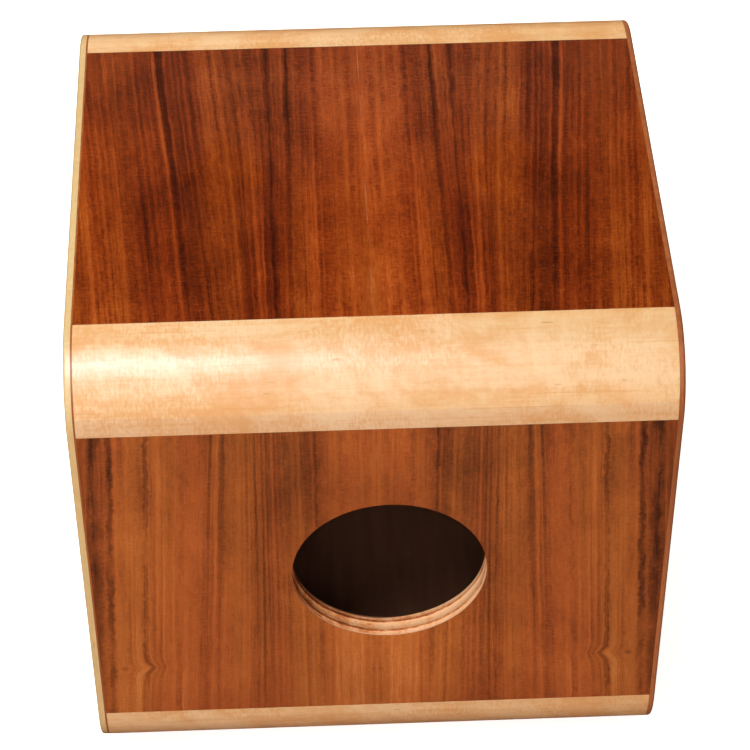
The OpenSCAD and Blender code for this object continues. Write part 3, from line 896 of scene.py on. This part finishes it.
# span, width and depth in mm of each screw's cross
TAPA_CROSS = (3.8, 0.9, 1.3)
BLOCK_CROSS = (3.6, 0.9, 1.2)
FOOT_CROSS = (4, 0.9, 1.2)
PLATE_CROSS = (2.6, 0.6, 0.7)
THREAD_PITCH = 0.9 * MM
FOOT_BORE_R = 2.03 * MM
FOOT_POCKET_R = 6.5 * MM
FOOT_TAPER = 2.5 * MM  # how much narrower a foot is at the floor


def cross_cutter(sizes, top):
    """A tapered cross-shaped driver recess, cut downwards from the height top; sizes are in mm."""
    span, width, depth = (size * MM for size in sizes)
    half, arm = width / 2, span / 2
    outline = [(arm, -half), (arm, half), (half, half)]
    for _ in range(3):
        outline += [(-y, x) for x, y in outline[-3:]]
    layers = [(top + 0.2 * MM, 0), (top - depth * 0.4, 0.1 * width), (top - depth, 0.38 * width)]
    return make_object("cutter", prism(outline, layers, lambda u, v, d: (u, v, d)))


def thread(shank_r, start, end):
    """A threaded shank as (radius, height) pairs, from start down to a point at the height end."""
    rings = [(shank_r, start)]
    root_r = 0.76 * shank_r
    height = start
    while height - THREAD_PITCH > end:
        taper = min(1, (height - end) / (3 * THREAD_PITCH))
        for radius, share in ((root_r, 0.25), (shank_r, 0.5), (root_r, 0.75)):
            rings.append((radius * taper, height - share * THREAD_PITCH))
        height -= THREAD_PITCH
    return rings + [(0, end)]


def countersunk_profile(head_r, head_h, shank_r, length):
    """A countersunk screw with its head's flat top at height 0, as (radius, height) pairs."""
    rim = 0.12 * MM
    head = [(0, 0), (head_r - 2 * rim, 0), (head_r, -rim), (head_r, -2 * rim), (shank_r, -head_h)]
    return head + thread(shank_r, -head_h - 1.5 * MM, -length)


def pan_profile(head_r, shank_r, head_h, length):
    """A screw with a domed head that rests on height 0, as (radius, height) pairs."""
    angles = np.radians([25, 45, 62, 78, 90])
    dome = [(head_r * sin(a), head_h * (0.35 + 0.65 * cos(a))) for a in angles]
    head = [(0, head_h)] + dome + [(head_r * 0.97, 0), (shank_r, 0)]
    return head + thread(shank_r, -1 * MM, -length)


def build_screws(node, body, places, profile, cross, head_h=0):
    """Copies of one screw, at each place matrix, as one piece; head_h is how far its head stands out."""
    one = make_object("one_screw", lathe(profile, 32))
    cut(one, cross_cutter(cross, head_h))
    part = ([v.co.copy() for v in one.data.vertices], [tuple(p.vertices) for p in one.data.polygons])
    bpy.data.objects.remove(one)
    piece = make_object(f"{node}_steel", merged([moved(part, place) for place in places]))
    finish_piece(piece, body, "steel_screw", node)


def screw_place(solid, axis, seat, turn, spin):
    """A matrix that stands a screw in its CAD solid, its head on a seat at that place along the axis."""
    spot = middle(*solid[:2])
    spot[axis] = seat
    turn_axis, angle = turn
    tip = Matrix.Rotation(radians(angle), 4, turn_axis)
    return Matrix.Translation(spot) @ (tip @ Matrix.Rotation(spin, 4, "Z"))


def build_tapa_screws():
    node = "tapa_screws"
    places = [screw_place(solid, 1, TAPA_FACE_Y, ("X", 90), 0.9 * i) for i, solid in enumerate(solids(node))]
    profile = countersunk_profile(*TAPA_SCREW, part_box(node)[1].y - TAPA_FACE_Y)
    build_screws(node, BOX, places, profile, TAPA_CROSS)


def build_block_screws():
    """The screws that run outwards through the bearing blocks into the walls."""
    node = "bearing_block_screws"
    places = []
    for i, solid in enumerate(solids(node)):
        low_x, high_x = solid[0][0], solid[1][0]
        seat, angle = (low_x, -90) if low_x > 0 else (high_x, 90)
        places.append(screw_place(solid, 0, seat, ("Y", angle), 0.5 + i))
    profile = countersunk_profile(*BLOCK_SCREW, high_x - low_x)
    build_screws(node, BOX, places, profile, BLOCK_CROSS)


def build_pan_screws(node, body, screw, cross, axis, seat, angle, spin):
    """Pan-head screws that run up along an axis from their seat."""
    screws = solids(node)
    low, high, _ = screws[0]
    head_h = seat - low[axis]
    places = [screw_place(solid, axis, seat, ("X", angle), spin + i) for i, solid in enumerate(screws)]
    build_screws(node, body, places, pan_profile(*screw, head_h, high[axis] - seat), cross, head_h)


def build_all_screws():
    build_tapa_screws()
    build_block_screws()
    washer_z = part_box("foot_washers")[0].z
    plate_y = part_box("snare_plate_hole_side")[0].y
    build_pan_screws("foot_screws", BOX, FOOT_SCREW, FOOT_CROSS, 2, washer_z, 180, 0.4)
    build_pan_screws("snare_plate_screws", SNARE, PLATE_SCREW, PLATE_CROSS, 1, plate_y, 90, 0.3)
    build_softened("foot_washers", "steel", 0.15 * MM, BOX, "steel_screw")


def foot_profile(high_r, height, pocket_h):
    """A tapered rubber foot with soft edges, a grip groove and a pocket below, as (radius, height)."""
    soft = 1.3 * MM
    groove = 0.5 * MM
    lip = 0.1 * MM
    chamfer = 0.6 * MM
    low_r = high_r - FOOT_TAPER
    mid = 0.62 * height
    mid_r = low_r + 0.62 * FOOT_TAPER
    foot = arc((low_r - soft, soft), soft, -90, 0, 3)
    grip = [(mid_r - lip, mid - groove), (mid_r - groove, mid - 0.4 * groove),
            (mid_r - groove, mid + 0.4 * groove), (mid_r + lip, mid + groove)]
    top = [(high_r - lip, height - chamfer), (high_r - groove, height), (FOOT_BORE_R, height)]
    pocket = [(FOOT_BORE_R, pocket_h), (FOOT_POCKET_R, pocket_h), (FOOT_POCKET_R, chamfer),
              (FOOT_POCKET_R + chamfer, 0)]
    return foot + grip + top + pocket


def build_feet():
    pocket_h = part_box("foot_washers")[1].z
    for end in ("tapa", "back"):
        for side in ("hole_side", "far_side"):
            node = f"foot_{end}_{side}"
            low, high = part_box(node)
            x, y, _ = middle(low, high)
            foot = ring_lathe(foot_profile((high.x - low.x) / 2, high.z - low.z, pocket_h), 64)
            piece = make_object(f"{node}_rubber", moved(foot, Matrix.Translation((x, y, low.z))))
            finish_piece(piece, BOX, "foot_rubber", node)


# ---- the snare ----

WIRE_R = 0.2 * MM
COIL_PITCH = 1.25 * MM
COIL_STEPS = 10  # points along the wire in each turn
WIRE_SIDES = 5
SOLDER_R = 1.5 * MM
SOLDER_RISE = 1.2 * MM  # how far a drop of solder sits above its strand's lower end


def coil(start, end, outer_r):
    """A helical wire from start to end, as (verts, faces)."""
    axis = Vector(end) - Vector(start)
    length = axis.length
    axis.normalize()
    side = axis.orthogonal().normalized()
    up = axis.cross(side)
    mean_r = outer_r - WIRE_R
    count = int(length / COIL_PITCH * COIL_STEPS)
    turns = np.arange(count + 1) / COIL_STEPS * 2 * pi
    radial = np.outer(np.cos(turns), side) + np.outer(np.sin(turns), up)
    tangent = np.outer(-np.sin(turns), side) + np.outer(np.cos(turns), up)
    slope = COIL_PITCH / (2 * pi * mean_r)
    binormal = np.array(axis) - slope * tangent
    binormal /= np.linalg.norm(binormal, axis=1, keepdims=True)
    line = np.array(start) + np.outer(np.linspace(0, length, count + 1), axis) + mean_r * radial
    around = (np.arange(WIRE_SIDES) / WIRE_SIDES * 2 * pi)[None, :, None]
    section = np.cos(around) * radial[:, None, :] + np.sin(around) * binormal[:, None, :]
    verts = line[:, None, :] + WIRE_R * section
    last = count * WIRE_SIDES
    caps = [tuple(range(WIRE_SIDES)), tuple(range(last, last + WIRE_SIDES))]
    return verts.reshape(-1, 3).tolist(), ring_faces(WIRE_SIDES, count + 1) + caps


def strands(node):
    """(lower end, upper end, radius) of each strand of a snare set."""
    found = []
    for low, high, points in solids(node):
        order = points[np.argsort(points[:, 2])]
        half = len(order) // 2
        found.append((order[:half].mean(axis=0), order[half:].mean(axis=0), (high[1] - low[1]) / 2))
    return found


def solder_drop(spot):
    """A small flattened drop of solder that holds a strand's end to its plate."""
    dome = [(sin(a), 0.7 * cos(a)) for a in np.radians([20, 40, 60, 80, 90])]
    profile = [(0, 0.7)] + dome + [(1, -0.25), (0, -0.25)]
    scale = Matrix.Diagonal((SOLDER_R, SOLDER_R * 1.4, SOLDER_R, 1))
    turn = Matrix.Rotation(radians(90), 4, "X")
    return moved(lathe(profile, 12), Matrix.Translation(spot) @ turn @ scale)


def build_snare():
    for side in ("hole_side", "far_side"):
        plate = f"snare_plate_{side}"
        plate_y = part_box(plate)[0].y
        ends = strands(f"snare_wires_{side}")
        coils = make_object(f"snare_coils_{side}", merged([coil(*strand) for strand in ends]))
        finish_piece(coils, SNARE, "snare_steel", f"snare_wires_{side}")
        drops = [solder_drop((low[0], plate_y, low[2] + SOLDER_RISE)) for low, _, _ in ends]
        solder = make_object(f"snare_solder_{side}", merged(drops))
        finish_piece(solder, SNARE, "steel_screw")
        build_softened(plate, "steel", 0.25 * MM, SNARE, "snare_steel")
        build_softened(f"bearing_block_{side}", "wood", 0.6 * MM, BOX, "beech")
    build_softened("snare_dowel", "wood", 0.3 * MM, SNARE, "beech")


build_bars()
build_leaves()
build_hole_wall()
build_panels()
build_end_plates()
build_all_screws()
build_feet()
build_snare()

# ---- stage, light and camera ----

AMBIENT = 0.1  # the world's light on matt surfaces
MIRRORED = 0.02  # the world as the lacquer mirrors it, apart from the glow
GLOW = 0.25  # how strongly the warm glow behind shows in the lacquer
BACKDROP = 0.86  # the world as the camera sees it
FLOOR_SHINE = 0.75  # how much brighter the camera sees the floor
FLOOR_HALF = 6  # half the floor's side

CENTRE = (Vector(CAD_BOX[0]) + Vector(CAD_BOX[1])) / 2
CAMERA_FROM = (87.74, 44.03)  # azimuth and elevation
CAMERA_ROLL = -0.2
CAMERA_DISTANCE = 1.525
CAMERA_LENS = 131.5
CAMERA_AIM = CENTRE + Vector((-7.2, 5.5, -3.4)) * MM


def looking(azimuth, elevation, target, distance, roll=0):
    """The matrix of a camera or light that looks at the target; azimuth 0 is from -Y and 90 from +X."""
    a, e, r = (radians(angle) for angle in (azimuth, elevation, roll))
    towards = Vector((sin(a) * cos(e), -cos(a) * cos(e), sin(e)))
    right = Vector((0, 0, 1)).cross(towards).normalized()
    up = towards.cross(right)
    x_axis = cos(r) * right + sin(r) * up
    y_axis = cos(r) * up - sin(r) * right
    turn = Matrix((x_axis, y_axis, towards)).transposed().to_4x4()
    return Matrix.Translation(target + towards * distance) @ turn


def add_camera():
    camera = link("camera", bpy.data.cameras.new("camera"))
    camera.matrix_world = looking(*CAMERA_FROM, CAMERA_AIM, CAMERA_DISTANCE, CAMERA_ROLL)
    camera.data.lens = CAMERA_LENS
    camera.data.sensor_width = 36
    camera.data.clip_start = 0.01
    bpy.context.scene.camera = camera


def add_light(name, azimuth, elevation, distance, size, power, colour=(1, 1, 1), only_mirrored=False):
    """A round soft light that lights surfaces unmirrored, or one that only shows mirrored in them."""
    data = bpy.data.lights.new(name, "AREA")
    data.shape = "DISK"
    data.size = size
    data.energy = power
    data.color = colour
    light = link(name, data)
    light.visible_glossy = only_mirrored
    light.visible_diffuse = not only_mirrored
    light.matrix_world = looking(azimuth, elevation, CENTRE, distance)


def floor_material():
    """White paper to the camera, warmer to the light it throws back, almost black as a reflection."""
    g = material_graph("floor")
    path = g.node("LightPath", {}).outputs
    colour = g.mix(g.even(40, detail=3), 0.9, 0.93)
    colour = g.mix(path["Is Diffuse Ray"], colour, (0.75, 0.5, 0.33))
    colour = g.mix(path["Is Glossy Ray"], colour, 0.04)
    return g.output("BsdfPrincipled", "OutputMaterial", {
        "Base Color": colour, "Roughness": 0.9, "Specular IOR Level": 0.1, "Emission Color": (1, 1, 1, 1),
        "Emission Strength": g.times(path["Is Camera Ray"], FLOOR_SHINE),
    })


def add_floor():
    corners = [(x * FLOOR_HALF, y * FLOOR_HALF, 0) for x, y in ((-1, -1), (1, -1), (1, 1), (-1, 1))]
    mesh = bpy.data.meshes.new("floor")
    mesh.from_pydata(corners, [], [(0, 1, 2, 3)])
    mesh.materials.append(floor_material())
    link("floor", mesh)


def add_world():
    """Pale light from all round that mirrors only faintly in the lacquer, but for a warm glow behind."""
    world = bpy.data.worlds.new("studio")
    bpy.context.scene.world = world
    g = Graph(world, "Generated")
    path = g.node("LightPath", {}).outputs
    behind = g.remap(g.x, -0.45, -0.85)
    low = g.times(g.remap(g.z, -0.05, 0.05), g.remap(g.z, 0.4, 0.2))
    mirrored = g.mix(g.times(behind, low, GLOW), MIRRORED, (1, 0.7, 0.45))
    colour = g.mix(path["Is Glossy Ray"], AMBIENT, mirrored)
    colour = g.mix(path["Is Camera Ray"], colour, BACKDROP)
    g.output("Background", "OutputWorld", {"Color": colour})


add_camera()
add_floor()
add_world()
add_light("key", 52, 60, 1.6, 0.86, 17)
add_light("sheen", 55, 60, 1.6, 0.88, 12, colour=(0.66, 0.77, 1), only_mirrored=True)
add_light("fill", 85, 30, 2.2, 1.6, 17.5)
add_light("back", 270, 21, 2, 1.2, 32, colour=(1, 0.78, 0.5))
bpy.context.scene.view_settings.view_transform = "Standard"
